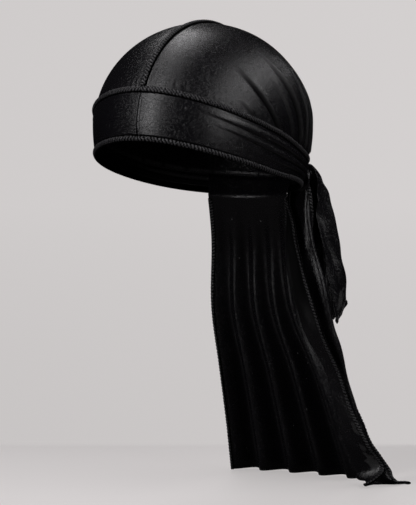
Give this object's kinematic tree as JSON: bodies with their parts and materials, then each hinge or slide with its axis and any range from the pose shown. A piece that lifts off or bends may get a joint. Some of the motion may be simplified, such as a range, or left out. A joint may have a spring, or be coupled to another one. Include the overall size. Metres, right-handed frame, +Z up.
{
  "type": "durag",
  "caption": "Satin durag tied on the left: close crown with a centre seam, wide brow band, knot, two hanging tie ends and a long neck cape.",
  "frame": {"origin": "highest point of the head hollow, where the crown sits on the top of a head", "axes": "+Z up, -Y towards the brow, +X towards the wearer's left, where the knot and the tie ends are"},
  "size_m": [0.1957, 0.2488, 0.373],
  "materials": {
    "black_satin": "silky satin with a soft sheen",
    "black_thread": "overlocked thread over rolled satin"
  },
  "bodies": {
    "root": {"crown_left": "black_satin", "crown_right": "black_satin", "centre_seam": "black_thread", "brow_strap_left": "black_satin", "brow_strap_right": "black_satin", "band_seam_left": "black_thread", "band_seam_right": "black_thread", "band_hem_left": "black_thread", "band_hem_right": "black_thread", "knot": "black_satin", "tie_tail_short": "black_satin", "tie_tail_long": "black_satin", "cape": "black_satin"}
  },
  "joints": []
}
